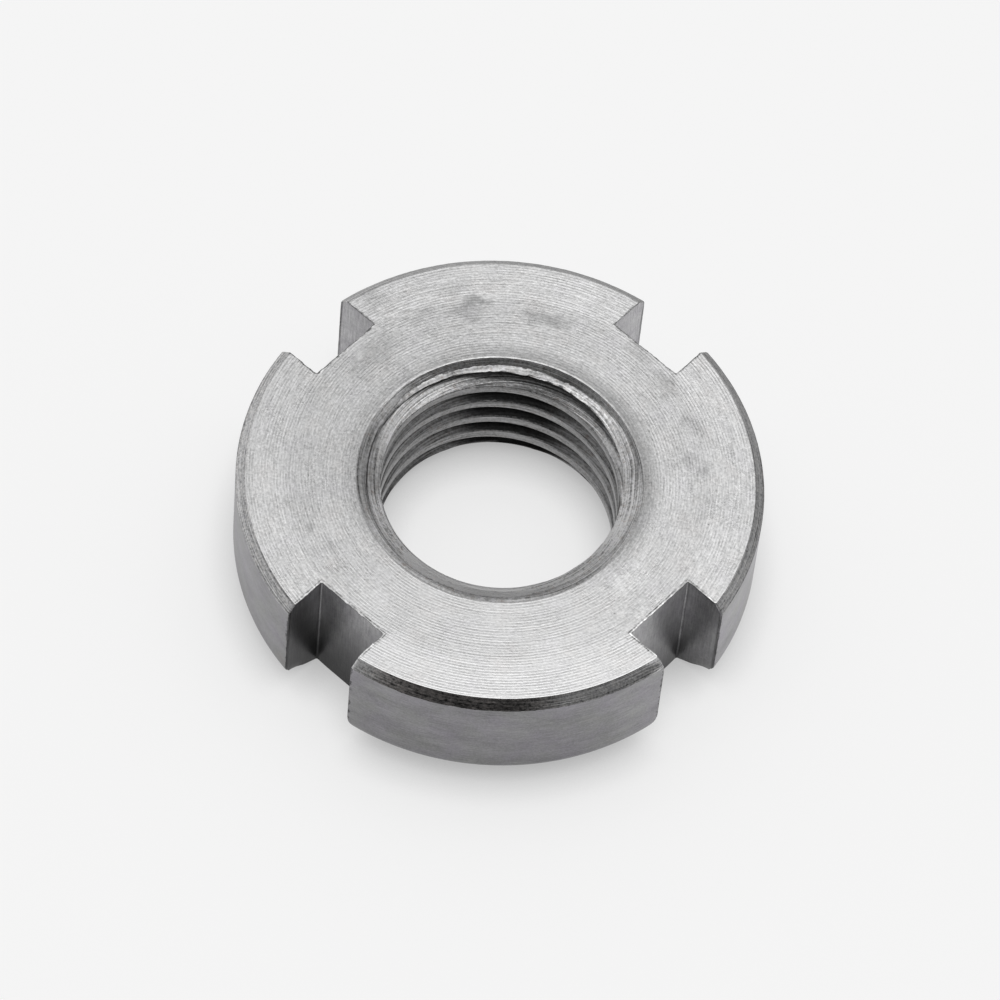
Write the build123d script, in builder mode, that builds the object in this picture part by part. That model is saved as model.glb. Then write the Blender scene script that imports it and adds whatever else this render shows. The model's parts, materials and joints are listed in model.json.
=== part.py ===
from build123d import *
from math import ceil, radians, tan
import os

# Slotted round nut, turned from one piece of steel and then milled. Millimetres.
# Origin at the middle of the lower face, +Z along the bore.

# Turned blank
outer_diameter = 28.0
thickness = 8.0
top_chamfer = 0.5
# The lower side is bevelled back to a narrower bearing face
bevel_width = 2.55
bevel_angle = 30.0
bevel_edge_radius = 1.0

# Metric fine thread, right-handed, tapped to the wide end of its tolerance
thread_diameter = 14.0
thread_pitch = 1.5
thread_angle = 60.0
thread_engagement = 5 / 8
thread_root_share = 1 / 8
minor_diameter_allowance = 0.3
# The first turn of the groove starts here, below the lower face, and beside the slots
thread_start_angle = -45.0
thread_start_height = -0.905
# The groove's outline reaches this far into the open bore, so that it cuts cleanly
groove_overcut = 0.2

# Countersink at both ends of the bore
countersink_diameter = 15.2
countersink_angle = 120.0

# Milled slots for the hook of a spanner
slot_count = 4
slot_width = 4.45
slot_depth = 2.65
slot_corner_radius = 0.1
cutter_overrun = 1.0

outer_radius = outer_diameter / 2
bevel_height = bevel_width * tan(radians(bevel_angle))
bearing_radius = outer_radius - bevel_width
thread_flank_slope = tan(radians(thread_angle / 2))
thread_triangle_height = thread_pitch / (2 * thread_flank_slope)
minor_diameter = thread_diameter - 2 * thread_engagement * thread_triangle_height + minor_diameter_allowance
bore_radius = minor_diameter / 2
countersink_radius = countersink_diameter / 2
countersink_depth = (countersink_radius - bore_radius) / tan(radians(countersink_angle / 2))
groove_root_width = thread_pitch * thread_root_share
groove_inner_radius = bore_radius - groove_overcut
groove_mouth_width = groove_root_width + 2 * (thread_diameter / 2 - groove_inner_radius) * thread_flank_slope
thread_turns = ceil((thickness + groove_mouth_width - thread_start_height) / thread_pitch)
slot_floor_distance = outer_radius - slot_depth

with BuildPart() as groove_turn:
    # One turn of the thread's groove, swept along its helix
    with BuildLine() as helix:
        Helix(pitch=thread_pitch, height=thread_pitch, radius=bore_radius)
    with BuildSketch(Plane.XZ):
        with BuildLine():
            Polyline(
                (groove_inner_radius, -groove_mouth_width / 2),
                (thread_diameter / 2, -groove_root_width / 2),
                (thread_diameter / 2, groove_root_width / 2),
                (groove_inner_radius, groove_mouth_width / 2),
                close=True,
            )
        make_face()
    sweep(path=helix.line, is_frenet=True)

with BuildPart() as nut:
    # Half section of the turned blank, revolved about the bore's axis
    with BuildSketch(Plane.XZ) as section:
        with BuildLine():
            Polyline(
                (bore_radius, countersink_depth),
                (countersink_radius, 0),
                (bearing_radius, 0),
                (outer_radius, bevel_height),
                (outer_radius, thickness - top_chamfer),
                (outer_radius - top_chamfer, thickness),
                (countersink_radius, thickness),
                (bore_radius, thickness - countersink_depth),
                close=True,
            )
        make_face()
        # The bevel runs into the rim over a rounded edge
        rim_corner = section.vertices().group_by(Axis.X)[-1].sort_by(Axis.Y)[0]
        fillet(rim_corner, bevel_edge_radius)
    revolve(axis=Axis.Z)

    # The groove, turn by turn, from below the lower face to above the upper one
    for turn in range(thread_turns):
        with Locations(Location((0, 0, thread_start_height + turn * thread_pitch), (0, 0, thread_start_angle))):
            add(groove_turn.part, mode=Mode.SUBTRACT)

    # Slots milled through the rim, with the small radius that the cutter leaves in their corners
    with BuildSketch(Plane.XY) as slots:
        with PolarLocations(slot_floor_distance, slot_count):
            Rectangle(slot_depth + cutter_overrun, slot_width, align=(Align.MIN, Align.CENTER))
        fillet(slots.vertices().group_by(SortBy.DISTANCE)[0], slot_corner_radius)
    extrude(amount=thickness, mode=Mode.SUBTRACT)

nut.part.label = "slotted_nut"

os.makedirs("parts", exist_ok=True)
export_step(nut.part, "parts/slotted_nut.step")
print(f"bore {minor_diameter:.3f}  countersink depth {countersink_depth:.3f}  bearing face {2 * bearing_radius:.2f}")
print(f"bevel height {bevel_height:.3f}  slot floor at {slot_floor_distance:.2f}  volume {nut.part.volume:.1f}")
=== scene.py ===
import json
import math

import bmesh
import bpy
from mathutils import Matrix, Vector, noise


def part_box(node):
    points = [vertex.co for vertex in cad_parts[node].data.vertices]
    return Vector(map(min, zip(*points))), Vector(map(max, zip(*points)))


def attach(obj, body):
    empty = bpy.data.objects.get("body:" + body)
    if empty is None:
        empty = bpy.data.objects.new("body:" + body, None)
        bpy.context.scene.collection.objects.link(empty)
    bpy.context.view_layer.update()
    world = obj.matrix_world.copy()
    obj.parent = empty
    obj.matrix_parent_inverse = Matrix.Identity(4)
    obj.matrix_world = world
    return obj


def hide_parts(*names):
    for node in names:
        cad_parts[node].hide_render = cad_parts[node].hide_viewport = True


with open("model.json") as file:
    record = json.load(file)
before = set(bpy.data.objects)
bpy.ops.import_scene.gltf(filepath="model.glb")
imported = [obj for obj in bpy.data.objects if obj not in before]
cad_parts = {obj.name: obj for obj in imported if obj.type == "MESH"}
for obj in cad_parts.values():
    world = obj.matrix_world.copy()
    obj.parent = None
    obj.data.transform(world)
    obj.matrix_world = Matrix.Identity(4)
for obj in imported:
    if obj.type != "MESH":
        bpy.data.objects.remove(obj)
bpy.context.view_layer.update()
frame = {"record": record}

# Slotted round nut of turned steel, one piece. Sizes are in millimetres until the mesh is made.
# Directions on the nut are bearings in degrees, counter-clockwise from the front, where the camera stands.
MM = 0.001
NODE = "slotted_nut"

# Sizes taken from the frame
LOW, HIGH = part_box(NODE)
THREAD_MOUNT = next(m for m in frame["record"]["mounts"] if m["name"] == "thread")
HEIGHT = (HIGH.z - LOW.z) / MM
MINOR_R = THREAD_MOUNT["dims"]["r_mm"]

# Slots, the first of them on the +X axis
SLOTS = 4
SLOT_W = 4.45
SLOT_FLOOR = 11.35
SLOT_CORNER = 0.1
OUTER_R = math.hypot(HIGH.x / MM, SLOT_W / 2)

# Upper face, a little under the full height, which only the burrs on its edges reach
BURR = 0.03
FACE_Z = HEIGHT - BURR
CHAMFER = 0.5
EDGE_WIDTH = 0.04
EDGE_DROP = 0.008
WALL_TOP = FACE_Z - EDGE_DROP

# Lower side: bearing face, bevel, and the rounded edge into the rim
BEVEL_WIDTH = 2.55
BEVEL_ANGLE = math.radians(30)
EDGE_R = 1.0
BEARING_R = OUTER_R - BEVEL_WIDTH
BEVEL_HEIGHT = BEVEL_WIDTH * math.tan(BEVEL_ANGLE)
EDGE_TURN = math.radians(90) - BEVEL_ANGLE
RIM_LOW = BEVEL_HEIGHT + EDGE_R * math.tan(EDGE_TURN / 2)
ROUND_R = OUTER_R - EDGE_R * (1 - math.cos(EDGE_TURN))

# Thread: its phase is the height above a crest's lower edge, and its profile gives the depth over the phase
PITCH = 1.5
MAJOR_R = 7.0
GROOVE_DEPTH = MAJOR_R - MINOR_R
CREST_LOW = 1.792
CREST_ANGLE = math.radians(127.894)
THREAD_PROFILE = ((0.0, 0.03), (0.04, 0.0), (0.50, 0.0), (0.56, 0.03),
                  (0.93, GROOVE_DEPTH), (1.118, GROOVE_DEPTH), (PITCH, 0.03))

# Countersinks. The upper one was cut in two steps, a little towards the front; the lower one is steeper
LOWER_SINK_R = 7.47
LOWER_SINK_DEPTH = LOWER_SINK_R - MINOR_R
UPPER_SINK_R = 7.595
UPPER_SINK_SHIFT = (0.12, -0.045)
UPPER_SINK_RUN = math.tan(math.radians(60))
# How far its edge and its torn ledge stray, the ledge in front and behind
SINK_STRAY = 0.015
TORN_FRONT, TORN_BACK = 0.015, 0.075
# Bearing, width and depth of the first step, then radius and depth of the ledge's inner edge
UPPER_SINK_SHAPE = (
    (0, 0.30, 0.08, 6.70, 0.61),
    (45, 0.25, 0.09, 6.90, 0.40),
    (90, 0.12, 0.08, 6.50, 0.60),
    (110, 0.17, 0.22, 6.62, 0.60),
    (135, 0.25, 0.36, 6.756, 0.59),
    (155, 0.27, 0.38, 6.82, 0.54),
    (180, 0.27, 0.36, 6.82, 0.44),
    (200, 0.27, 0.35, 6.86, 0.41),
    (225, 0.33, 0.32, 6.94, 0.38),
    (240, 0.45, 0.25, 7.02, 0.35),
    (270, 0.54, 0.24, 7.03, 0.37),
    (300, 0.40, 0.14, 6.98, 0.38),
    (330, 0.30, 0.08, 6.82, 0.49),
    (360, 0.30, 0.08, 6.70, 0.61),
)

# Camera, with the nut's centre on its own pixel of a square image
VIEW_AZIMUTH = math.radians(307.894)
VIEW_ELEVATION = math.radians(58.437)
VIEW_ROLL = math.radians(-6.008)
VIEW_DISTANCE = 357.72
IMAGE = 1000
FOCAL_PIXELS = 6710.55
SENSOR = 36.0
CENTRE_PIXEL = (496.74, 515.87)

# Mesh density
COLUMNS = 560
SLOT_COLUMNS = 36
CORNER_COLUMNS = 4
LUG_COLUMNS = COLUMNS // SLOTS - SLOT_COLUMNS
RING_R = 11.0
RIM_FRACTIONS = [0, 0.008, 0.02, 0.04, 0.065] + [0.1 + 0.05 * i for i in range(19)]
SINK_ROW = 0.035
# Places of the extra rows: out from the bore on the faces, and under the upper countersink
LOWER_FACE_ROWS = (2.2, 1.0, 0.4)
UPPER_FACE_ROWS = (0.3, 0.9, 1.6, 2.4)
UNDER_SINK_ROWS = (1.1, 0.95, 0.82)
# Rows from the circle RING_R out to the slots, and rows and end columns of the lugs
RING_ROWS = (0.0, 0.4, 0.75, 0.92, 1.0)
LUG_ROWS = (11.8, 12.0, 12.2, 12.4, 12.6, 12.8, 13.0, 13.2)
LUG_END_COLUMNS = (0.0, 0.002, 0.0045, 0.0075, 0.0115, 0.017)
ROUND_ROWS = 7

# Surfaces, in the order of the material slots
FACED, CHAMFERED, TURNED, MILLED, TAPPED, BEARING = range(6)


def lerp(a, b, f):
    return a + (b - a) * f


def smooth(x, low, high):
    """Smooth step from 0 at low to 1 at high."""
    f = min(max((x - low) / (high - low), 0.0), 1.0)
    return f * f * (3 - 2 * f)


def polar(r, a, z):
    return Vector((r * math.cos(a), r * math.sin(a), z))


def bearing(a):
    """Degrees counter-clockwise from the front, 0 to 360."""
    return math.degrees(a - VIEW_AZIMUTH) % 360


def ragged(a, z, scale, seed):
    """Smooth noise from -1 to 1 that closes on itself around the bore."""
    return noise.noise(Vector((math.cos(a) * scale, math.sin(a) * scale, z + seed)))


# The turned section

def upper_z(r):
    """Height of the upper face and its chamfer at a radius."""
    flat_r = OUTER_R - CHAMFER
    if r > flat_r:
        return FACE_Z - EDGE_DROP - (r - flat_r) * (CHAMFER - BURR) / CHAMFER
    if r > flat_r - EDGE_WIDTH:
        return FACE_Z - EDGE_DROP * (r - flat_r + EDGE_WIDTH) / EDGE_WIDTH
    return FACE_Z


def lower_z(r):
    """Height of the bearing face, the bevel and the rounded edge at a radius."""
    if r <= BEARING_R:
        return 0.0
    if r <= ROUND_R:
        return (r - BEARING_R) * math.tan(BEVEL_ANGLE)
    reach = min(r - (OUTER_R - EDGE_R), EDGE_R)
    return RIM_LOW - math.sqrt(EDGE_R ** 2 - reach ** 2)


# The bore

def thread_r(a, z):
    """Radius of the thread at an angle and a height: a right-hand helix of 60 degree grooves."""
    phase = (z - CREST_LOW - (a - CREST_ANGLE) / math.tau * PITCH) % PITCH
    for (p0, d0), (p1, d1) in zip(THREAD_PROFILE, THREAD_PROFILE[1:]):
        if phase <= p1:
            return MINOR_R + lerp(d0, d1, (phase - p0) / (p1 - p0))
    return MINOR_R


def upper_sink_shape(a):
    """Step width, step depth, ledge radius and ledge depth of the upper countersink at an angle."""
    b = bearing(a)
    for low, high in zip(UPPER_SINK_SHAPE, UPPER_SINK_SHAPE[1:]):
        if b <= high[0]:
            f = smooth(b, low[0], high[0])
            return [lerp(p, q, f) for p, q in zip(low[1:], high[1:])]
    return UPPER_SINK_SHAPE[-1][1:]


def upper_sink_edge(a):
    """Radius of the upper countersink's outer edge, with the nicks that the cutter left."""
    front, right = math.cos(a - VIEW_AZIMUTH), math.sin(a - VIEW_AZIMUTH)
    shift = UPPER_SINK_SHIFT[0] * front + UPPER_SINK_SHIFT[1] * right
    return UPPER_SINK_R + shift + SINK_STRAY * ragged(a, 0, 30, 5.1)


def upper_countersink_r(a, z):
    """Radius of the upper countersink: a steep step, a ragged ledge, and a cone down to the thread."""
    width, step, ledge_r, ledge_depth = upper_sink_shape(a)
    edge = upper_sink_edge(a)
    full_depth = (edge - MINOR_R) / UPPER_SINK_RUN
    corners = ((0.0, edge), (step, edge - width), (ledge_depth, ledge_r), (full_depth, MINOR_R))
    depth = WALL_TOP - z
    for (d0, r0), (d1, r1) in zip(corners, corners[1:]):
        if depth <= d1:
            break
    r = lerp(r0, r1, (depth - d0) / (d1 - d0))
    back = smooth(math.cos(math.radians(bearing(a) - 180)), 0.1, 0.7)
    tear = smooth(depth, 0.1, ledge_depth) * (1 - smooth(depth, ledge_depth + 0.05, full_depth))
    rough = 0.6 * ragged(a, z * 6, 21, 1.3) + 0.5 * ragged(a, z * 9, 47, 8.7)
    return r + lerp(TORN_FRONT, TORN_BACK, back) * tear * rough


def lower_countersink_r(z):
    return LOWER_SINK_R - z


def bore_r(a, z):
    return max(thread_r(a, z), upper_countersink_r(a, z), lower_countersink_r(z))


def sheet_rows():
    """Rows of the unrolled inner part: lower face, wall of the bore, upper face."""
    lower_face = [LOWER_SINK_R - RING_R] + [-reach for reach in LOWER_FACE_ROWS]
    lower_sink = [LOWER_SINK_DEPTH * i / 10 for i in range(12)]
    upper_sink = [WALL_TOP - depth for depth in UNDER_SINK_ROWS]
    upper_sink += [WALL_TOP - SINK_ROW * i for i in range(21, -1, -1)]
    reaches = (EDGE_WIDTH, 2 * EDGE_WIDTH) + UPPER_FACE_ROWS + (RING_R - UPPER_SINK_R,)
    return lower_face + lower_sink + upper_sink + [WALL_TOP + reach for reach in reaches]


def sheet_point(a, t):
    """Point of the unrolled sheet in space."""
    if t < 0:
        return polar(LOWER_SINK_R - t, a, 0.0)
    if t > WALL_TOP:
        reach = t - WALL_TOP
        stretch = (RING_R - upper_sink_edge(a)) / (RING_R - UPPER_SINK_R)
        r = RING_R - (RING_R - UPPER_SINK_R - reach) * stretch
        return polar(r, a, FACE_Z - EDGE_DROP * max(0.0, 1 - reach / EDGE_WIDTH))
    return polar(bore_r(a, t), a, t)


def cut_creases(bm):
    """Cuts the flat sheet along the thread's edges, which are straight lines on it."""
    slope = PITCH / math.tau
    for phase, depth in THREAD_PROFILE[:-1]:
        for turn in range(-2, 6):
            height = CREST_LOW + phase + turn * PITCH - CREST_ANGLE * slope
            wall = [f for f in bm.faces if 0.3 < f.calc_center_median().y < WALL_TOP - 0.2]
            edges = {e for f in wall for e in f.edges}
            verts = {v for f in wall for v in f.verts}
            bmesh.ops.bisect_plane(bm, geom=wall + list(edges) + list(verts), dist=1e-5,
                                   plane_co=(0, height, 0), plane_no=(-slope, 1, 0))


def add_grid(bm, rows, surfaces):
    """Adds a sheet of quads through rows of points; surfaces gives each strip's material."""
    made = [[bm.verts.new(p) for p in row] for row in rows]
    for low, high, surface in zip(made, made[1:], surfaces):
        for a, b, c, d in zip(low, low[1:], high[1:], high):
            bm.faces.new((a, b, c, d)).material_index = surface


def build_inner():
    """The bore with its thread and countersinks, and the two faces out to RING_R, as one mesh."""
    bm = bmesh.new()
    step = math.tau / COLUMNS
    rows = sheet_rows()
    surfaces = [BEARING if t < 0 else FACED if t >= WALL_TOP else TAPPED for t in rows]
    add_grid(bm, [[(i * step, t, 0) for i in range(COLUMNS + 1)] for t in rows], surfaces)
    cut_creases(bm)
    for v in bm.verts:
        v.co = sheet_point(v.co.x, v.co.y)
    return bm


# The slotted outside

def slot_curve():
    """One slot's outline in its own frame, from the end of one wall's corner round to the other's."""
    half = SLOT_W / 2
    corner = []
    for i in range(CORNER_COLUMNS + 1):
        turn = math.radians(90) * i / CORNER_COLUMNS
        s = SLOT_FLOOR + SLOT_CORNER * (1 - math.sin(turn))
        v = -half + SLOT_CORNER * (1 - math.cos(turn))
        corner.append((s, v))
    straight = SLOT_COLUMNS - 2 * CORNER_COLUMNS
    flat = half - SLOT_CORNER
    floor = [(SLOT_FLOOR, lerp(-flat, flat, i / straight)) for i in range(1, straight)]
    return corner + floor + [(s, -v) for s, v in reversed(corner)]


LUG_START_R = math.hypot(SLOT_FLOOR + SLOT_CORNER, SLOT_W / 2)


def lug_fractions():
    """Places of the columns across a lug, closer together beside the slots."""
    ends = list(LUG_END_COLUMNS)
    inner = LUG_COLUMNS - 2 * (len(ends) - 1)
    middle = [lerp(ends[-1], 1 - ends[-1], i / inner) for i in range(1, inner)]
    return ends + middle + [1 - f for f in reversed(ends)]


def lug_point(quarter, r, f, z):
    """A point of a lug; f goes from 0 at the slot before it to 1 at the slot after it."""
    wall = math.asin(SLOT_W / 2 / r)
    a = lerp(wall, math.tau / SLOTS - wall, f) + quarter * math.tau / SLOTS
    return polar(r, a, z)


def lug_radii():
    """Radii shared by the upper and the lower side of a lug."""
    flat_r = OUTER_R - CHAMFER
    inner = [LUG_START_R, *LUG_ROWS, flat_r - 2 * EDGE_WIDTH, flat_r - EDGE_WIDTH]
    turns = [EDGE_TURN * (1 - i / ROUND_ROWS) for i in range(ROUND_ROWS + 1)]
    return inner + [OUTER_R - EDGE_R * (1 - math.cos(turn)) for turn in turns]


def slot_frame_point(quarter, s, v, z):
    a = quarter * math.tau / SLOTS
    return Vector((s * math.cos(a) - v * math.sin(a), s * math.sin(a) + v * math.cos(a), z))


def add_rings(bm, quarter, fractions, outline):
    """The two faces between the circle RING_R and the slotted outline."""
    step = math.tau / COLUMNS
    first = quarter * (COLUMNS // SLOTS) - SLOT_COLUMNS // 2
    slot_outer = [slot_frame_point(quarter, s, v, 0) for s, v in outline]
    lug_outer = [lug_point(quarter, LUG_START_R, f, 0) for f in fractions]
    outer = slot_outer + lug_outer[1:]
    inner = [polar(RING_R, (first + i) * step, 0) for i in range(len(outer))]
    for height, surface in ((upper_z, FACED), (lower_z, BEARING)):
        rows = []
        for f in RING_ROWS:
            row = []
            for p, q in zip(inner, outer):
                m = p.lerp(q, f)
                row.append(Vector((m.x, m.y, height(math.hypot(m.x, m.y)))))
            rows.append(row)
        add_grid(bm, rows, [surface] * len(rows))


def add_lug(bm, quarter, fractions, radii):
    """Upper side, chamfer, rim, rounded edge, bevel and lower face of one lug."""
    top, bottom = upper_z(OUTER_R), lower_z(OUTER_R)
    section = [(r, upper_z(r)) for r in radii]
    surfaces = [CHAMFERED if r >= OUTER_R - CHAMFER - EDGE_WIDTH / 2 else FACED for r in radii[:-1]]
    section += [(OUTER_R, lerp(top, bottom, f)) for f in RIM_FRACTIONS[1:]]
    section += [(r, lower_z(r)) for r in reversed(radii[:-1])]
    surfaces += [TURNED] * (len(section) - len(surfaces))
    add_grid(bm, [[lug_point(quarter, r, f, z) for f in fractions] for r, z in section], surfaces)


def add_slot(bm, quarter, outline, radii):
    """Walls and floor of one slot."""
    def column(s, v):
        r = min(math.hypot(s, v), OUTER_R)
        top, bottom = upper_z(r), lower_z(r)
        return [slot_frame_point(quarter, s, v, lerp(top, bottom, f)) for f in RIM_FRACTIONS]
    half = SLOT_W / 2
    for side in (-1, 1):
        wall = [column(math.sqrt(r * r - half * half), side * half) for r in radii]
        add_grid(bm, wall, [MILLED] * len(radii))
    add_grid(bm, [column(s, v) for s, v in outline], [MILLED] * len(outline))


def build_outer():
    """Rings around the slots' floors, the lugs, and the slots' walls and floors, as one mesh."""
    bm = bmesh.new()
    fractions, radii, outline = lug_fractions(), lug_radii(), slot_curve()
    for quarter in range(SLOTS):
        add_rings(bm, quarter, fractions, outline)
        add_lug(bm, quarter, fractions, radii)
        add_slot(bm, quarter, outline, radii)
    return bm


# Wear and burrs, worked out from the place of each point on the new part

# The rim's upright corners: radius of the rounding all over, and what the top and the foot add to it
CORNER_BREAK = 0.05
CORNER_HEAD, CORNER_FOOT = 0.04, 0.20
# The same for the corners that are worn more, by slot number and side
WORN_CORNERS = {(0, -1): (0.12, 1.10), (3, 1): (0.10, 0.65), (0, 1): (0.10, 0.20)}
# Depth of the nicks in the slots' upper edges
NICK = 0.05


def section_r(z):
    """Outer radius of the turned section at a height."""
    if z > FACE_Z - CHAMFER:
        return OUTER_R - (z - FACE_Z + CHAMFER)
    if z >= RIM_LOW:
        return OUTER_R
    if z > BEVEL_HEIGHT:
        return OUTER_R - EDGE_R + math.sqrt(EDGE_R ** 2 - (RIM_LOW - z) ** 2)
    return BEARING_R + z / math.tan(BEVEL_ANGLE)


def nearest_slot(p):
    """Number of the slot nearest to a point, and the point's place along and across it."""
    quarter = math.tau / SLOTS
    slot = round(math.atan2(p.y, p.x) / quarter) % SLOTS
    c, s = math.cos(slot * quarter), math.sin(slot * quarter)
    return slot, p.x * c + p.y * s, p.y * c - p.x * s


def round_corner(p):
    """Rounds the upright corners between the slots' walls and the rim, most of all at the foot."""
    r = math.hypot(p.x, p.y)
    if r < OUTER_R - 1.6:
        return p.copy()
    slot, s, v = nearest_slot(p)
    side = 1 if v > 0 else -1
    head, foot = WORN_CORNERS.get((slot, side), (CORNER_HEAD, CORNER_FOOT))
    low = min(max((RIM_LOW + 0.5 - p.z) / 1.1, 0.0), 1.0)
    radius = CORNER_BREAK + head * smooth(p.z, FACE_Z - 1.2, FACE_Z) + foot * (1 - math.sqrt(1 - low ** 2))
    radius *= smooth(r, OUTER_R - 1.6, OUTER_R - 0.6)
    radius += 0.015 * noise.noise(Vector((slot * 3.1, side * 2.3, p.z * 2.2)))
    outer = section_r(p.z)
    inset, beside = radius - (outer - r), radius - (abs(v) - SLOT_W / 2)
    if inset <= 0 or beside <= 0 or math.hypot(inset, beside) <= radius:
        return p.copy()
    shrink = radius / math.hypot(inset, beside)
    new_r = outer - radius + inset * shrink
    new_v = side * (SLOT_W / 2 + radius - beside * shrink)
    return slot_frame_point(slot, math.sqrt(new_r ** 2 - new_v ** 2), new_v, p.z)


def slot_distance(p):
    """Distance in plan from a point on the part to the nearest slot's outline."""
    s, v = max(abs(p.x), abs(p.y)), min(abs(p.x), abs(p.y))
    return math.hypot(max(SLOT_FLOOR - s, 0.0), max(v - SLOT_W / 2, 0.0))


def ragged_edge(p):
    """How far a slot's upper edge is broken away, as a shift in plan."""
    slot, s, v = nearest_slot(p)
    high = smooth(p.z, FACE_Z - 0.4, FACE_Z) * smooth(math.hypot(p.x, p.y), OUTER_R - 0.3, OUTER_R - 0.8)
    reach = 0.03 * noise.noise(p * 2.1) + 0.05 * noise.noise(p * 5.3)
    shift = high * max(reach, -0.01) * smooth(slot_distance(p), 0.05, 0.0)
    if s < SLOT_FLOOR + 0.05:
        return slot_frame_point(slot, -shift * smooth(abs(v), SLOT_W / 2, SLOT_W / 2 - 0.4), 0.0, 0.0)
    shift *= smooth(s, SLOT_FLOOR, SLOT_FLOOR + 0.4)
    return slot_frame_point(slot, 0.0, math.copysign(shift, v), 0.0)


# One end of the front lug's chamfer is battered round
BATTERED_SLOT, BATTERED_SIDE = 0, -1
SWELL = 0.10


def swell(p, r):
    """How far the battered end of the chamfer stands out."""
    slot, s, v = nearest_slot(p)
    if slot != BATTERED_SLOT or v * BATTERED_SIDE < 0 or r < OUTER_R - CHAMFER or p.z < upper_z(r) - 1e-4:
        return 0.0
    across = min((r - OUTER_R + CHAMFER) / CHAMFER, 1.0)
    return SWELL * math.sin(math.pi * across) * smooth(slot_distance(p), 1.2, 0.1)


def wear(p):
    """Place on the worn part of a point of the new part."""
    r = math.hypot(p.x, p.y)
    a = math.atan2(p.y, p.x)
    out = round_corner(p) + ragged_edge(p)
    stand = swell(p, r) / math.sqrt(2)
    out += Vector((p.x / r * stand, p.y / r * stand, stand))
    if p.z > FACE_Z - 1e-6 and r > RING_R:
        # Burrs and nicks that the slots' cutter left along its edges
        edge = smooth(slot_distance(p), 0.05, 0.0)
        rough = noise.noise(p * 3.1)
        out.z += edge * (0.5 * BURR * smooth(rough, 0.15, 0.5) - NICK * smooth(-rough, 0.05, 0.5))
    chamfer_foot = upper_z(OUTER_R)
    if r > OUTER_R - CHAMFER and p.z > chamfer_foot - 0.5:
        # The chamfer's lower edge wanders, most of all at the front
        front = smooth(math.cos(a - VIEW_AZIMUTH), 0.75, 0.95)
        near = smooth(abs(p.z - chamfer_foot), 0.3, 0.0) * smooth(slot_distance(p), 0.0, 0.5)
        fine = lerp(0.02, 0.05, front) * ragged(a, 0, 60, 3.7)
        broad = lerp(0.01, 0.04, front) * ragged(a, 0, 14, 9.2)
        out.z += near * (fine + broad)
    return out


def groove_depth(p):
    """0 on the thread's crests to 1 at its roots, and 0 where a countersink has cut the thread away."""
    r, a = math.hypot(p.x, p.y), math.atan2(p.y, p.x)
    if r > MAJOR_R + 0.01 or not 0.05 < p.z < WALL_TOP - 0.05:
        return 0.0
    if thread_r(a, p.z) < max(upper_countersink_r(a, p.z), lower_countersink_r(p.z)) - 0.01:
        return 0.0
    return (r - MINOR_R) / GROOVE_DEPTH


def finished_mesh():
    """Joins the inner and outer parts into one closed skin, in metres."""
    bm = build_inner()
    outer = build_outer()
    part = bpy.data.meshes.new("outer_part")
    outer.to_mesh(part)
    bm.from_mesh(part)
    outer.free()
    bpy.data.meshes.remove(part)
    bmesh.ops.remove_doubles(bm, verts=bm.verts, dist=2e-4)
    bmesh.ops.dissolve_degenerate(bm, dist=1e-5, edges=bm.edges)
    bmesh.ops.triangulate(bm, faces=[f for f in bm.faces if len(f.verts) > 4])
    bmesh.ops.recalc_face_normals(bm, faces=bm.faces)
    open_edges = [e for e in bm.edges if len(e.link_faces) != 2]
    tris = sum(len(f.verts) - 2 for f in bm.faces)
    print("mesh", len(bm.verts), "verts", tris, "tris", len(open_edges), "open edges")
    groove = bm.verts.layers.float.new("groove")
    for v in bm.verts:
        v[groove] = groove_depth(v.co)
        v.co = wear(v.co) * MM
    mesh = bpy.data.meshes.new("nut_skin")
    bm.to_mesh(mesh)
    bm.free()
    return mesh


# Materials

def put(tree, value, socket):
    """Links a socket to a value that is one itself, or else sets it."""
    if isinstance(value, bpy.types.NodeSocket):
        tree.links.new(value, socket)
    else:
        socket.default_value = value


def add_node(tree, kind, inputs=None, **settings):
    """Adds a node, with its settings and the values or sockets of its inputs."""
    node = tree.nodes.new(kind)
    for name, value in settings.items():
        setattr(node, name, value)
    for key, value in (inputs or {}).items():
        put(tree, value, node.inputs[key])
    return node


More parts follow.
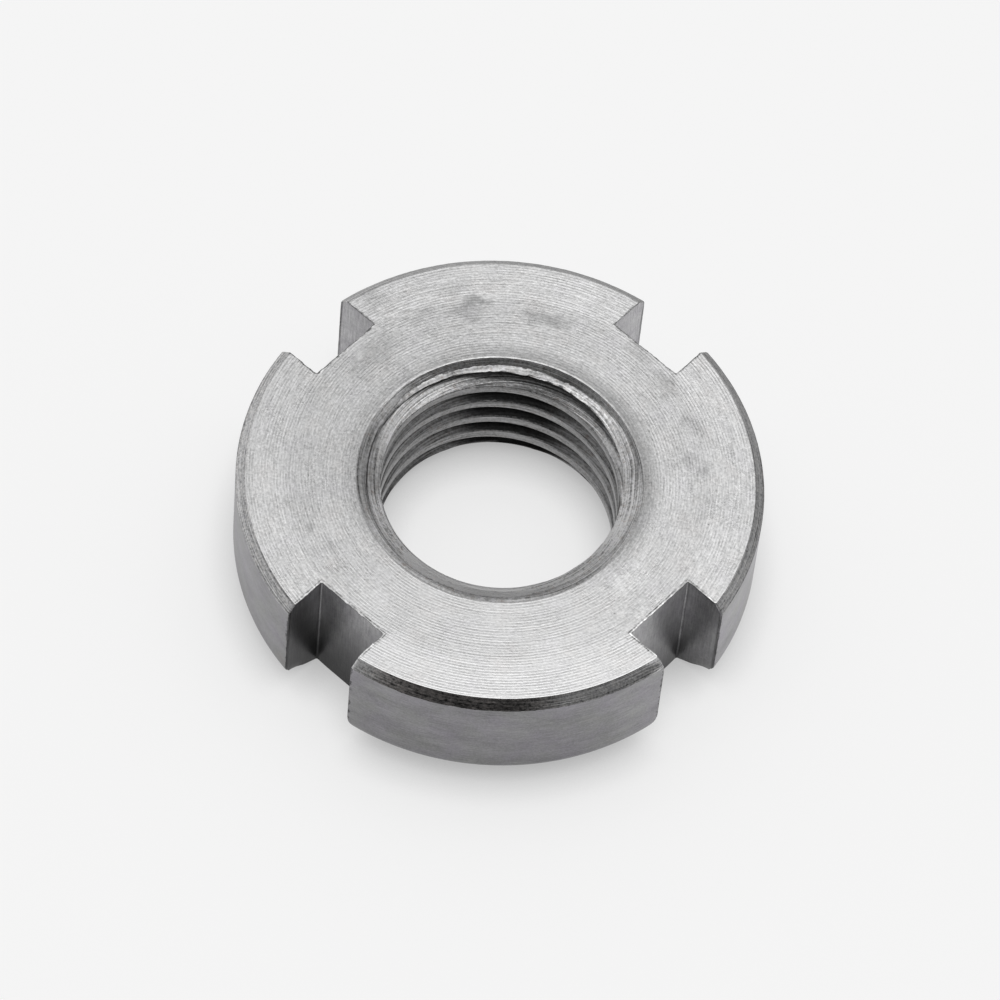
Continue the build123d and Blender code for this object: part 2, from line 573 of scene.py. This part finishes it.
class Nodes:
    """A steel's nodes, made by calls that take and give sockets or numbers, with lengths in millimetres."""

    def __init__(self, name):
        self.material = bpy.data.materials.new(name)
        self.material.use_nodes = True
        self.tree = self.material.node_tree
        self.shader = self.tree.nodes["Principled BSDF"]
        self.shader.inputs["Metallic"].default_value = 1.0
        metres = self.new("ShaderNodeTexCoord").outputs["Object"]
        self.place = self.vector("SCALE", metres, scale=1 / MM)
        flat = self.vector("MULTIPLY", self.place, (1, 1, 0))
        split = self.new("ShaderNodeSeparateXYZ", {0: self.place})
        self.x, self.y, self.z = split.outputs
        self.r = self.vector("LENGTH", flat)
        self.unit = self.vector("NORMALIZE", flat)
        self.turns = self.math("DIVIDE", self.math("ARCTAN2", self.y, self.x), math.tau)
        facing = (math.cos(VIEW_AZIMUTH), math.sin(VIEW_AZIMUTH), 0)
        self.front = self.vector("DOT_PRODUCT", self.unit, facing)
        self.right = self.vector("DOT_PRODUCT", self.unit, (-facing[1], facing[0], 0))

    def new(self, kind, inputs=None, **settings):
        return add_node(self.tree, kind, inputs, **settings)

    def math(self, operation, a, b=0.0, c=0.0):
        return self.new("ShaderNodeMath", {0: a, 1: b, 2: c}, operation=operation).outputs[0]

    def vector(self, operation, a, b=(0, 0, 0), scale=None):
        node = self.new("ShaderNodeVectorMath", {0: a, 1: b}, operation=operation)
        if scale is not None:
            put(self.tree, scale, node.inputs["Scale"])
        return node.outputs["Value" if operation in ("LENGTH", "DOT_PRODUCT", "DISTANCE") else "Vector"]

    def smooth(self, value, low, high, start=0.0, end=1.0):
        """Smooth step of a value from start at low to end at high."""
        inputs = {"Value": value, "From Min": low, "From Max": high, "To Min": start, "To Max": end}
        return self.new("ShaderNodeMapRange", inputs, interpolation_type="SMOOTHSTEP").outputs[0]

    def add(self, *terms):
        total = terms[0]
        for term in terms[1:]:
            total = self.math("ADD", total, term)
        return total

    def multiply(self, *factors):
        total = factors[0]
        for factor in factors[1:]:
            total = self.math("MULTIPLY", total, factor)
        return total

    def gain(self, *pairs):
        """1 plus each value times its strength."""
        return self.add(1.0, *[self.multiply(value, strength) for value, strength in pairs])

    def noise(self, vector, scale=1.0, detail=2.0, roughness=0.5):
        """Noise about 0, mostly within -1 and 1."""
        inputs = {"Vector": vector, "Scale": scale, "Detail": detail, "Roughness": roughness}
        level = self.new("ShaderNodeTexNoise", inputs).outputs["Fac"]
        return self.math("MULTIPLY_ADD", level, NOISE_GAIN, -NOISE_GAIN / 2)

    def ring_place(self, length, width, along=None):
        """Vector for noise in streaks of a length and a width round the bore, at a radius of 10 mm."""
        around = self.vector("SCALE", self.unit, scale=10 / length)
        across = self.math("DIVIDE", self.r if along is None else along, width)
        shift = self.new("ShaderNodeCombineXYZ", {2: across}).outputs[0]
        return self.vector("ADD", around, shift)

    def toward(self, degrees):
        """Cosine of the angle round the bore from a bearing."""
        a = math.radians(degrees)
        return self.add(self.multiply(self.front, math.cos(a)), self.multiply(self.right, math.sin(a)))

    def slot_place(self):
        """Distances from the nearest slot's middle, along it and across it."""
        x, y = self.math("ABSOLUTE", self.x), self.math("ABSOLUTE", self.y)
        return self.math("MAXIMUM", x, y), self.math("MINIMUM", x, y)

    def bump(self, height):
        """Normal from a height in millimetres."""
        return self.new("ShaderNodeBump", {"Height": height, "Distance": MM}).outputs[0]

    def finish(self, grey, tint, roughness, height):
        """Sets colour, roughness and bump. A tint warms the grey above 0 and makes it violet below."""
        warm = self.vector("SCALE", (0.03, -0.02, -0.04), scale=self.math("MAXIMUM", tint, 0.0))
        violet = self.vector("SCALE", (0.0, 0.025, -0.03), scale=self.math("MINIMUM", tint, 0.0))
        colour = self.vector("ADD", self.vector("ADD", warm, violet), (1.0, 1.0, 1.0))
        put(self.tree, self.vector("SCALE", colour, scale=grey), self.shader.inputs["Base Color"])
        put(self.tree, roughness, self.shader.inputs["Roughness"])
        put(self.tree, self.bump(height), self.shader.inputs["Normal"])
        return self.material


NOISE_GAIN = 3.0

# Grey level of each surface before its gains
FACE_GREY = 0.525
CHAMFER_GREY = 0.46
RIM_GREY = 0.262
MILLED_GREY = 0.37
UPPER_BORE_GREY = 0.45
LOWER_BORE_GREY = 0.25
BEARING_GREY = 0.45

# Tool rings of the turned faces, one turn of a fine spiral apart
RING_PITCH = 0.163
RING_RISE = 0.78

# Marks on the upper face: bearing, radius, size along and across the tool marks, and gain of brightness
FACE_MARKS = (
    (218, 12.9, 0.7, 0.5, -0.16), (207, 11.0, 0.8, 0.4, -0.20), (194, 10.6, 1.0, 0.5, -0.22),
    (197, 12.0, 0.8, 0.4, -0.12), (191, 11.0, 0.7, 0.35, -0.18), (173, 10.3, 0.9, 0.45, -0.20),
    (167, 10.4, 0.7, 0.4, -0.16), (130, 10.7, 0.9, 0.35, -0.18), (115, 10.7, 0.9, 0.35, -0.18),
    (143, 11.1, 0.6, 0.4, -0.12), (224, 9.9, 1.1, 0.7, -0.14), (234, 9.8, 0.7, 0.5, -0.12),
    (102, 10.2, 0.5, 0.3, -0.20), (99, 10.9, 0.4, 0.25, -0.20), (94, 9.4, 0.9, 0.5, 0.10),
    (54, 9.1, 1.0, 0.45, 0.10), (324, 10.0, 1.2, 0.5, 0.08), (294, 10.5, 0.35, 0.25, -0.22),
    (302, 9.8, 0.3, 0.2, -0.20), (43, 10.7, 0.8, 0.2, -0.10), (18, 10.6, 0.9, 0.4, 0.07),
)


def face_marks(n):
    """Sum of the smudges and burnished places, with uneven edges."""
    wobble = n.new("ShaderNodeTexNoise", {"Vector": n.place, "Scale": 0.9, "Detail": 3.0}).outputs["Color"]
    wobble = n.vector("SCALE", n.vector("SUBTRACT", wobble, (0.5, 0.5, 0.5)), scale=2.2)
    place = n.vector("ADD", n.place, wobble)
    total = 0.0
    for degrees, radius, length, width, gain in FACE_MARKS:
        a = VIEW_AZIMUTH + math.radians(degrees)
        offset = n.vector("SUBTRACT", place, (radius * math.cos(a), radius * math.sin(a), FACE_Z))
        out = n.vector("DOT_PRODUCT", offset, (math.cos(a) / width, math.sin(a) / width, 0))
        along = n.vector("DOT_PRODUCT", offset, (-math.sin(a) / length, math.cos(a) / length, 0))
        spread = n.add(n.multiply(out, out), n.multiply(along, along))
        total = n.add(total, n.smooth(spread, 2.4, 0.0, 0.0, gain))
    return total


def slot_edge_wear_and_glint(n):
    """1 at the slots' edges on the upper face, broken up, and 0 a little way off; below 0 where a painted
    highlight glints on the edges towards the front and the right.
    """
    s, v = n.slot_place()
    out = n.math("MAXIMUM", n.math("SUBTRACT", SLOT_FLOOR, s), 0.0)
    beside = n.math("MAXIMUM", n.math("SUBTRACT", v, SLOT_W / 2), 0.0)
    distance = n.math("SQRT", n.add(n.multiply(out, out), n.multiply(beside, beside)))
    broken = n.smooth(n.noise(n.place, scale=2.5, detail=3), -0.4, 0.5, 0.05, 0.16)
    hither = n.smooth(n.front, 0.2, 0.6)
    # Painted highlight: a glint along the edges, towards the front and the right
    painted_glint = n.multiply(n.smooth(distance, 0.09, 0.05), hither, n.smooth(broken, 0.05, 0.14, 1.0, 0.3),
                       n.smooth(n.right, -0.2, 0.3, 0.35, 1.0))
    dark = n.multiply(n.smooth(distance, 0.06, 0.10), n.smooth(distance, 0.18, 0.12), hither,
                      n.smooth(broken, 0.05, 0.11, 0.2, 1.0))
    spread = n.multiply(n.smooth(n.math("DIVIDE", distance, broken), 1.0, 0.4),
                        n.smooth(hither, 0.0, 1.0, 1.0, 0.5))
    return n.add(spread, n.multiply(dark, 0.9), n.multiply(painted_glint, -1.1))


def ring_phase(n):
    """Place across one tool ring, from 0 to 1."""
    return n.math("FRACT", n.add(n.math("DIVIDE", n.r, RING_PITCH), n.turns))


def tool_rings(n):
    """Height of the tool rings about 0: a slow rise and a quick fall, deeper in some places."""
    phase = ring_phase(n)
    rise = n.math("DIVIDE", phase, RING_RISE)
    fall = n.math("DIVIDE", n.math("SUBTRACT", 1.0, phase), 1 - RING_RISE)
    cut = n.smooth(n.noise(n.ring_place(3.0, 0.9), detail=3), -0.5, 0.4, 0.3, 1.0)
    return n.multiply(n.math("SUBTRACT", n.math("MINIMUM", rise, fall), 0.5), cut)


def sink_lip_highlight(n, dashes):
    """1 where a painted highlight brightens the lip at the far side of the upper countersink's edge."""
    shift = n.add(n.multiply(n.front, UPPER_SINK_SHIFT[0]), n.multiply(n.right, UPPER_SINK_SHIFT[1]))
    beyond = n.math("SUBTRACT", n.r, n.add(UPPER_SINK_R, shift))
    return n.multiply(n.smooth(beyond, 0.14, 0.05), n.smooth(n.toward(185), 0.3, 0.8),
                      n.smooth(dashes, -0.8, 0.4, 0.4, 1.0))


def faced_steel():
    """The upper face: fine tool rings, streaks, specks and smudges."""
    n = Nodes("faced_steel")
    rings = tool_rings(n)
    uneven = n.noise(n.ring_place(9.0, 0.11), detail=2)
    dashes = n.noise(n.ring_place(0.45, 0.06), detail=2, roughness=0.6)
    grain = n.noise(n.place, scale=7.0, detail=3, roughness=0.7)
    blotches = n.noise(n.place, scale=0.55, detail=6, roughness=0.7)
    pits = n.smooth(n.noise(n.place, scale=6.0, detail=1), 0.75, 1.0)
    rim_side = n.smooth(n.r, 10.8, 11.8, 1.0, 1.1)
    bore_side = n.multiply(n.smooth(n.r, 8.7, 7.6), n.smooth(n.front, 0.9, 0.3), n.gain((n.right, 0.4)))
    crisp = n.smooth(n.front, 0.6, 0.95)
    # Painted light: the gains by front and right make the face lighter towards the front and the right
    grey = n.multiply(FACE_GREY, rim_side, n.gain((bore_side, -0.32), (n.front, 0.04), (n.right, 0.065),
                                                  (n.multiply(n.front, n.front), 0.085)))
    grey = n.multiply(grey, n.gain((dashes, n.smooth(crisp, 0.0, 1.0, 0.32, 0.10)),
                                   (grain, n.smooth(crisp, 0.0, 1.0, 0.36, 0.22)), (blotches, 0.20),
                                   (rings, n.smooth(crisp, 0.0, 1.0, 0.28, 0.40)), (uneven, 0.08),
                                   (pits, -0.35), (slot_edge_wear_and_glint(n), -0.6), (sink_lip_highlight(n, dashes), 0.55)))
    grey = n.multiply(grey, n.add(1.0, face_marks(n)))
    tint = n.multiply(n.noise(n.place, scale=0.8, detail=3), 0.3)
    height = n.add(n.multiply(rings, 0.004), n.multiply(uneven, 0.0022), n.multiply(dashes, 0.002),
                   n.multiply(grain, 0.003), n.multiply(pits, -0.006))
    return n.finish(grey, tint, n.smooth(blotches, -0.6, 0.6, 0.25, 0.36), height)


def chamfer_steel():
    """The chamfer: fine level tool lines, rougher at the front and darker there from painted shade, with
    painted light and shade by side.
    """
    n = Nodes("chamfer_steel")
    lines = n.noise(n.ring_place(4.0, 0.036, n.z), detail=1)
    tears = n.noise(n.ring_place(0.25, 0.1, n.z), detail=3, roughness=0.7)
    grain = n.noise(n.place, scale=8.0, detail=2, roughness=0.6)
    torn_and_shaded = n.smooth(n.toward(356), 0.91, 0.98)
    corner = tuple(slot_frame_point(BATTERED_SLOT, OUTER_R - 0.2, BATTERED_SIDE * SLOT_W / 2, FACE_Z - 0.2))
    battered = n.smooth(n.add(n.vector("DISTANCE", n.place, corner), n.multiply(tears, 0.4)), 1.5, 0.5)
    # Painted light and shade: lighter towards the front and at bearing 334, darker on the right and at the
    # back; painted shade darkens the torn front, and the battered end is made lighter as painted light
    lighter = n.smooth(n.toward(334), 0.965, 0.99)
    back = n.smooth(n.toward(180), 0.4, 0.95)
    grey = n.multiply(CHAMFER_GREY, n.gain((n.right, -0.27), (n.front, 0.36)), n.gain((torn_and_shaded, -0.72)))
    grey = n.multiply(grey, n.gain((lighter, 0.5), (back, -0.10)))
    grey = n.math("ADD", n.multiply(grey, n.gain((battered, -0.9))), n.multiply(battered, 0.50))
    tears_seen = n.multiply(tears, n.smooth(torn_and_shaded, 0.0, 1.0, 0.3, 1.0))
    grey = n.multiply(grey, n.gain((lines, 0.80), (grain, 0.55), (tears_seen, 1.3)))
    height = n.add(n.multiply(lines, 0.004), n.multiply(tears, n.smooth(torn_and_shaded, 0.0, 1.0, 0.001, 0.004)))
    tint = n.math("MULTIPLY_ADD", tears, 1.0, n.multiply(torn_and_shaded, 1.0))
    return n.finish(n.math("MAXIMUM", grey, 0.03), tint, 0.40, height)


def corner_wear(n):
    """1 on the rim's upright corners beside the slots, broken up, and 0 a little way off."""
    s, v = n.slot_place()
    beside = n.math("SUBTRACT", v, SLOT_W / 2)
    broken = n.smooth(n.noise(n.place, scale=3.0, detail=4, roughness=0.7), -0.1, 0.5, 0.05, 0.22)
    hither = n.smooth(n.front, -0.6, 0.2, 0.4, 1.0)
    return n.multiply(n.smooth(n.math("DIVIDE", beside, broken), 1.0, 0.6), hither)


def rim_steel():
    """The cylinder, its rounded lower edge and the bevel: turned, with fine level streaks."""
    n = Nodes("rim_steel")
    streaks = n.noise(n.ring_place(0.7, 0.06, n.z), detail=3, roughness=0.65)
    broad = n.noise(n.ring_place(2.0, 1.3, n.z), detail=5, roughness=0.65)
    grain = n.noise(n.place, scale=8.0, detail=3, roughness=0.7)
    specks = n.smooth(n.noise(n.place, scale=3.2, detail=3, roughness=0.6), 0.75, 1.0)
    # Painted light and shade: the rim is made lighter on the right and a little darker straight in front
    side = n.smooth(n.right, 0.2, 0.9, 1.0, 1.3)
    nearest = n.smooth(n.front, 0.5, 0.9, 1.0, 0.89)
    grey = n.multiply(RIM_GREY, side, nearest, n.smooth(n.z, 1.0, 7.0, 0.93, 1.03))
    grey = n.multiply(grey, n.gain((streaks, 0.28), (broad, 0.26), (grain, 0.26), (specks, -0.4),
                                   (corner_wear(n), -0.8)))
    height = n.add(n.multiply(streaks, 0.0015), n.multiply(grain, 0.0015))
    tint = n.math("MULTIPLY_ADD", n.noise(n.place, scale=0.6, detail=3), 1.6, -0.7)
    return n.finish(grey, tint, 0.38, height)


def slot_painted_light_and_shade(n, corner):
    """Grey gain of painted light and shade on the slots, by slot: darker towards the foot in the front
    slots, where the walls mirror the shaded floor, the slot at the back right a little lighter, and lighter
    part way up beside the inner corners; corner is the distance from the nearest inner corner.
    """
    left_front = n.smooth(n.toward(322), 0.8, 0.95)
    right_front = n.smooth(n.toward(52), 0.8, 0.95)
    right_back = n.smooth(n.toward(142), 0.8, 0.95)
    climb = n.new("ShaderNodeMapRange", {"Value": n.z, "From Min": 0.4, "From Max": 7.6}).outputs[0]
    left_foot_shade = n.math("MULTIPLY_ADD", n.multiply(climb, climb), 0.74, -0.93)
    right_foot_shade = n.math("MULTIPLY_ADD", climb, 0.82, -0.77)
    painted_shade_and_light = n.gain((left_front, left_foot_shade), (right_front, right_foot_shade), (right_back, 0.15))
    inner = n.multiply(n.smooth(corner, 1.6, 0.2), n.smooth(n.z, 1.2, 2.4), n.smooth(n.z, 7.0, 5.0))
    corner_painted_light = n.gain((n.multiply(inner, left_front), 0.75), (n.multiply(inner, right_front), 0.35))
    return n.multiply(painted_shade_and_light, corner_painted_light)


def milled_steel():
    """The slots' walls and floors: upright cutter marks, dark outlines, inner corners dulled by painted
    shade, and painted light and shade by slot and height.
    """
    n = Nodes("milled_steel")
    scratches = n.noise(n.vector("MULTIPLY", n.place, (12.0, 12.0, 0.9)), detail=3, roughness=0.6)
    broad = n.noise(n.place, scale=0.9, detail=4, roughness=0.6)
    grain = n.noise(n.place, scale=8.0, detail=3, roughness=0.7)
    s, v = n.slot_place()
    from_corner = n.math("MAXIMUM", n.math("SUBTRACT", s, SLOT_FLOOR), n.math("SUBTRACT", SLOT_W / 2, v))
    # Painted shade dulls the bright line of the inner corners' rounding
    corner = n.smooth(from_corner, 0.22, 0.05)
    top = n.smooth(n.math("SUBTRACT", FACE_Z, n.z), 0.09, 0.03)
    rim = n.smooth(n.math("SUBTRACT", OUTER_R, n.r), 0.22, 0.10)
    outline = n.multiply(n.math("MAXIMUM", top, rim), n.smooth(broad, -0.6, 0.2, 0.4, 1.0))
    grey = n.multiply(MILLED_GREY, slot_painted_light_and_shade(n, from_corner))
    grey = n.multiply(grey, n.gain((scratches, 0.34), (broad, 0.24), (grain, 0.28), (corner, -0.35),
                                   (outline, -0.75)))
    height = n.add(n.multiply(scratches, 0.002), n.multiply(grain, 0.0012))
    tint = n.math("MULTIPLY_ADD", broad, 0.8, -0.5)
    return n.finish(grey, tint, 0.36, height)


# Heights at the back, each a soft edge's low and high end: the limit of the grooves' dirt and painted
# shade, the torn ledge, and its dark foot, where a shadow is painted
DIRT_AND_SHADE_TOP = (6.72, 6.88)
LEDGE_LOW = (7.33, 7.42)
LEDGE_TOP = (7.62, 7.70)
FOOT_LOW = (6.98, 7.08)
FOOT_TOP = (7.22, 7.30)


def thread_rise(n):
    """Height less the thread's climb from the back, which fades out in front."""
    back, left = n.multiply(n.front, -1.0), n.multiply(n.right, -1.0)
    climb = n.multiply(n.math("ARCTAN2", left, back), PITCH / math.tau, n.smooth(n.front, 0.5, -0.3))
    return n.math("SUBTRACT", n.z, climb)


def far_side_painted_light(n, rise, upper):
    """Painted light and shade behind: painted highlights on the step and ledge, a painted shadow at the
    ledge's dark foot and under it, and lighter and darker bands beside them.
    """
    behind = n.smooth(n.toward(172), -0.1, 0.6)
    step = n.multiply(behind, n.smooth(n.z, *LEDGE_TOP))
    ledge = n.multiply(behind, n.smooth(n.z, *LEDGE_LOW), n.smooth(n.z, *reversed(LEDGE_TOP)))
    ledge_gain = n.add(-0.15, n.smooth(n.toward(105), 0.5, 0.98, 0.0, 0.75),
                       n.smooth(n.toward(205), 0.88, 0.98, 0.0, -0.15))
    left_step = n.multiply(n.smooth(n.toward(265), 0.6, 0.95), n.smooth(n.z, 7.62, 7.75))
    foot_rise = n.math("SUBTRACT", rise, n.smooth(n.right, -0.1, -0.45, 0.0, 0.12))
    foot = n.multiply(n.smooth(n.toward(172), 0.45, 0.8), n.smooth(foot_rise, *FOOT_LOW),
                      n.smooth(rise, *reversed(FOOT_TOP)))
    under = n.multiply(n.smooth(n.toward(180), 0.85, 1.0), n.smooth(rise, *reversed(FOOT_LOW)), upper)
    left_band = n.multiply(n.smooth(n.toward(215), 0.5, 0.98), n.smooth(n.z, 7.50, 7.42),
                           n.math("SUBTRACT", 1.0, foot), upper)
    return n.multiply(n.gain((ledge, ledge_gain), (step, 0.35), (left_step, -0.28)),
                      n.gain((foot, -0.82), (under, -0.40)), n.gain((left_band, 0.65)))


def near_side_painted_light(n, upper):
    """Painted light in front, where the countersink and the thread's first flank are made brighter."""
    high = n.smooth(n.z, 7.85, 7.65, 0.45, 1.0)
    low = n.multiply(n.smooth(n.z, 7.45, 7.25, 0.0, 0.3), n.smooth(n.z, 7.02, 7.15))
    near = n.multiply(n.smooth(n.toward(10), -0.05, 0.25), n.add(high, low), upper)
    nearest = n.multiply(n.smooth(n.toward(348), 0.82, 0.96), n.smooth(n.z, 7.85, 7.65), upper)
    return n.multiply(n.gain((near, 0.90)), n.gain((nearest, 1.40)))


def bore_steel():
    """The thread and countersinks: lines along the cut, dirt and painted shade in the grooves below the
    first turn, and painted light and shade about the upper countersink.
    """
    n = Nodes("bore_steel")
    groove = n.new("ShaderNodeAttribute", attribute_name="groove").outputs["Fac"]
    lines = n.noise(n.ring_place(5.0, 0.040, n.z), detail=1)
    stains = n.noise(n.ring_place(0.5, 0.22, n.z), detail=4, roughness=0.7)
    grain = n.noise(n.place, scale=6.0, detail=3, roughness=0.7)
    grit = n.smooth(n.noise(n.place, scale=3.0, detail=3, roughness=0.7), 0.30, 0.55)
    sunk = n.smooth(n.add(groove, n.multiply(stains, 0.12), n.multiply(grain, 0.08)), 0.03, 0.15)
    rise = thread_rise(n)
    upper = n.smooth(rise, *DIRT_AND_SHADE_TOP)
    far = n.smooth(n.toward(178), 0.86, 1.0)
    # Dirt and painted shade darken the grooves, most of all at the far side, and the lower turns' lower
    # grey is dirt and painted shade as well
    dirt_and_shade = n.multiply(sunk, n.smooth(upper, 0.0, 1.0, n.smooth(far, 0.0, 1.0, 0.25, 0.84), 0.05))
    depth_grey = n.smooth(upper, 0.0, 1.0, LOWER_BORE_GREY, UPPER_BORE_GREY)
    grey = n.multiply(depth_grey, n.gain((dirt_and_shade, -1.0)), far_side_painted_light(n, rise, upper), near_side_painted_light(n, upper))
    grey = n.multiply(grey, n.gain((lines, 0.75), (stains, 0.30), (grain, 0.60)), n.gain((grit, -0.40)))
    height = n.add(n.multiply(lines, n.smooth(upper, 0.0, 1.0, 0.001, 0.006)), n.multiply(grain, 0.005),
                   n.multiply(stains, 0.003))
    tint = n.math("MULTIPLY_ADD", stains, -1.0, n.multiply(grit, 1.5))
    grey = n.math("MINIMUM", n.math("MAXIMUM", grey, 0.012), 1.0)
    hither = n.multiply(n.smooth(n.toward(350), 0.2, 0.8), n.smooth(n.z, 7.90, 7.75))
    return n.finish(grey, tint, n.smooth(hither, 0.0, 1.0, 0.28, 0.41), height)


def bearing_steel():
    """The bearing face: turned rings and no marks of use."""
    n = Nodes("bearing_steel")
    phase = ring_phase(n)
    dashes = n.noise(n.ring_place(0.6, 0.07), detail=2, roughness=0.6)
    grain = n.noise(n.place, scale=8.0, detail=3, roughness=0.7)
    blotches = n.noise(n.place, scale=0.6, detail=3)
    grey = n.multiply(BEARING_GREY, n.gain((dashes, 0.25), (grain, 0.25), (blotches, 0.12)))
    height = n.add(n.multiply(phase, 0.003), n.multiply(dashes, 0.0015))
    return n.finish(grey, blotches, 0.32, height)


SHARP_ANGLE = math.radians(28)


def make_nut():
    mesh = finished_mesh()
    nut = bpy.data.objects.new("turned_nut", mesh)
    bpy.context.scene.collection.objects.link(nut)
    for make in (faced_steel, chamfer_steel, rim_steel, milled_steel, bore_steel, bearing_steel):
        mesh.materials.append(make())
    for p in mesh.polygons:
        p.use_smooth = True
    mesh.set_sharp_from_angle(angle=SHARP_ANGLE)
    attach(nut, "root")
    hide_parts(NODE)


# Stage

FLOOR_HALF = 1.0
FLOOR_COLOUR = 0.32
FLOOR_ROUGHNESS = 0.9
# The floor's glow close under the nut and in the open, and the reach of the shade between them
FLOOR_GLOW = 0.27
FLOOR_LIFT = 0.705
SHADE_REACH = 0.003
SHADE_FULL = 0.85


def floor_material():
    """Pale, with a faint glow that casts no light and is weaker where the nut shuts the floor in."""
    material = bpy.data.materials.new("pale_floor")
    material.use_nodes = True
    tree = material.node_tree
    shade = add_node(tree, "ShaderNodeAmbientOcclusion", {"Distance": SHADE_REACH}, samples=8)
    levels = {"Value": shade.outputs["AO"], "From Max": SHADE_FULL,
              "To Min": FLOOR_GLOW, "To Max": FLOOR_LIFT}
    glow = add_node(tree, "ShaderNodeMapRange", levels)
    path = add_node(tree, "ShaderNodeLightPath").outputs
    rays = {0: path["Is Camera Ray"], 1: path["Is Glossy Ray"]}
    seen = add_node(tree, "ShaderNodeMath", rays, operation="MAXIMUM")
    lift = add_node(tree, "ShaderNodeMath", {0: glow.outputs[0], 1: seen.outputs[0]}, operation="MULTIPLY")
    shader = tree.nodes["Principled BSDF"]
    shader.inputs["Base Color"].default_value = (FLOOR_COLOUR, FLOOR_COLOUR, FLOOR_COLOUR, 1)
    shader.inputs["Roughness"].default_value = FLOOR_ROUGHNESS
    shader.inputs["Specular IOR Level"].default_value = 0.0
    shader.inputs["Emission Color"].default_value = (1, 1, 1, 1)
    put(tree, lift.outputs[0], shader.inputs["Emission Strength"])
    return material


def make_floor():
    mesh = bpy.data.meshes.new("floor")
    h = FLOOR_HALF
    mesh.from_pydata([(-h, -h, 0), (h, -h, 0), (h, h, 0), (-h, h, 0)], [], [(0, 1, 2, 3)])
    mesh.materials.append(floor_material())
    floor = bpy.data.objects.new("floor", mesh)
    bpy.context.scene.collection.objects.link(floor)


SKY_GAIN = 4.0
# Elevation in degrees and brightness: behind and beside the nut, and in front of it, where the room is dark
SKY_BEHIND = ((0, 0.45), (20, 0.45), (40, 0.55), (50, 0.6), (58, 1.1), (66, 1.65), (75, 1.7), (90, 1.6))
SKY_BEFORE = ((0, 0.35), (8, 0.2), (15, 0.08), (62, 0.12), (68, 0.55), (74, 1.2), (82, 1.55), (90, 1.6))
FRONT_FULL, FRONT_END = 45, 80
SEEN_SKY = 0.913


def elevation_ramp(tree, height, stops):
    """Brightness over the height of a direction: stops are (degrees, brightness)."""
    ramp = add_node(tree, "ShaderNodeValToRGB", {0: height})
    elements = ramp.color_ramp.elements
    while len(elements) < len(stops):
        elements.new(0.5)
    for element, (degrees, level) in zip(elements, stops):
        element.position = math.sin(math.radians(degrees))
        element.color = (level / SKY_GAIN, level / SKY_GAIN, level / SKY_GAIN, 1)
    return ramp.outputs[0]


def front_share(tree, direction):
    """0 for directions behind and beside the nut, up to 1 for those in front of it."""
    flat = add_node(tree, "ShaderNodeVectorMath", {0: direction, 1: (1, 1, 0)}, operation="MULTIPLY")
    unit = add_node(tree, "ShaderNodeVectorMath", {0: flat.outputs[0]}, operation="NORMALIZE")
    ahead = (math.cos(VIEW_AZIMUTH), math.sin(VIEW_AZIMUTH), 0)
    facing = add_node(tree, "ShaderNodeVectorMath", {0: unit.outputs[0], 1: ahead}, operation="DOT_PRODUCT")
    limits = {"From Min": math.cos(math.radians(FRONT_END)), "From Max": math.cos(math.radians(FRONT_FULL))}
    share = add_node(tree, "ShaderNodeMapRange", limits, interpolation_type="SMOOTHSTEP")
    put(tree, facing.outputs["Value"], share.inputs["Value"])
    return share.outputs[0]


def make_world():
    world = bpy.data.worlds.new("studio")
    bpy.context.scene.world = world
    world.use_nodes = True
    tree = world.node_tree
    tree.nodes.clear()
    direction = add_node(tree, "ShaderNodeTexCoord").outputs["Generated"]
    height = add_node(tree, "ShaderNodeSeparateXYZ", {0: direction}).outputs["Z"]
    sky = add_node(tree, "ShaderNodeMix", data_type="RGBA")
    sockets = {s.identifier: s for s in sky.inputs}
    put(tree, front_share(tree, direction), sockets["Factor_Float"])
    put(tree, elevation_ramp(tree, height, SKY_BEHIND), sockets["A_Color"])
    put(tree, elevation_ramp(tree, height, SKY_BEFORE), sockets["B_Color"])
    mixed = next(s for s in sky.outputs if s.identifier == "Result_Color")
    light = add_node(tree, "ShaderNodeBackground", {"Strength": SKY_GAIN, "Color": mixed})
    seen = add_node(tree, "ShaderNodeBackground", {"Color": (SEEN_SKY, SEEN_SKY, SEEN_SKY, 1)})
    camera_ray = add_node(tree, "ShaderNodeLightPath").outputs["Is Camera Ray"]
    pick = add_node(tree, "ShaderNodeMixShader", {0: camera_ray, 1: light.outputs[0], 2: seen.outputs[0]})
    add_node(tree, "ShaderNodeOutputWorld", {"Surface": pick.outputs[0]})


def make_camera():
    scene = bpy.context.scene
    data = bpy.data.cameras.new("camera")
    data.sensor_width = SENSOR
    data.lens = FOCAL_PIXELS * SENSOR / IMAGE
    camera = bpy.data.objects.new("camera", data)
    scene.collection.objects.link(camera)
    back = Vector((math.cos(VIEW_ELEVATION) * math.cos(VIEW_AZIMUTH),
                   math.cos(VIEW_ELEVATION) * math.sin(VIEW_AZIMUTH), math.sin(VIEW_ELEVATION)))
    right = Vector((-math.sin(VIEW_AZIMUTH), math.cos(VIEW_AZIMUTH), 0))
    facing = Matrix((right, back.cross(right), back)).transposed()
    # The camera turns from the nut's centre until that lands on its pixel
    x, y = CENTRE_PIXEL
    aim = Vector((x - IMAGE / 2, IMAGE / 2 - y, -FOCAL_PIXELS)).normalized()
    turn = aim.rotation_difference(Vector((0, 0, -1))).to_matrix()
    rotation = facing @ Matrix.Rotation(-VIEW_ROLL, 3, "Z") @ turn
    place = Vector((0, 0, HEIGHT / 2)) + back * VIEW_DISTANCE
    camera.matrix_world = Matrix.Translation(place * MM) @ rotation.to_4x4()
    scene.camera = camera


make_nut()
make_floor()
make_world()
make_camera()
bpy.context.scene.view_settings.view_transform = "Standard"
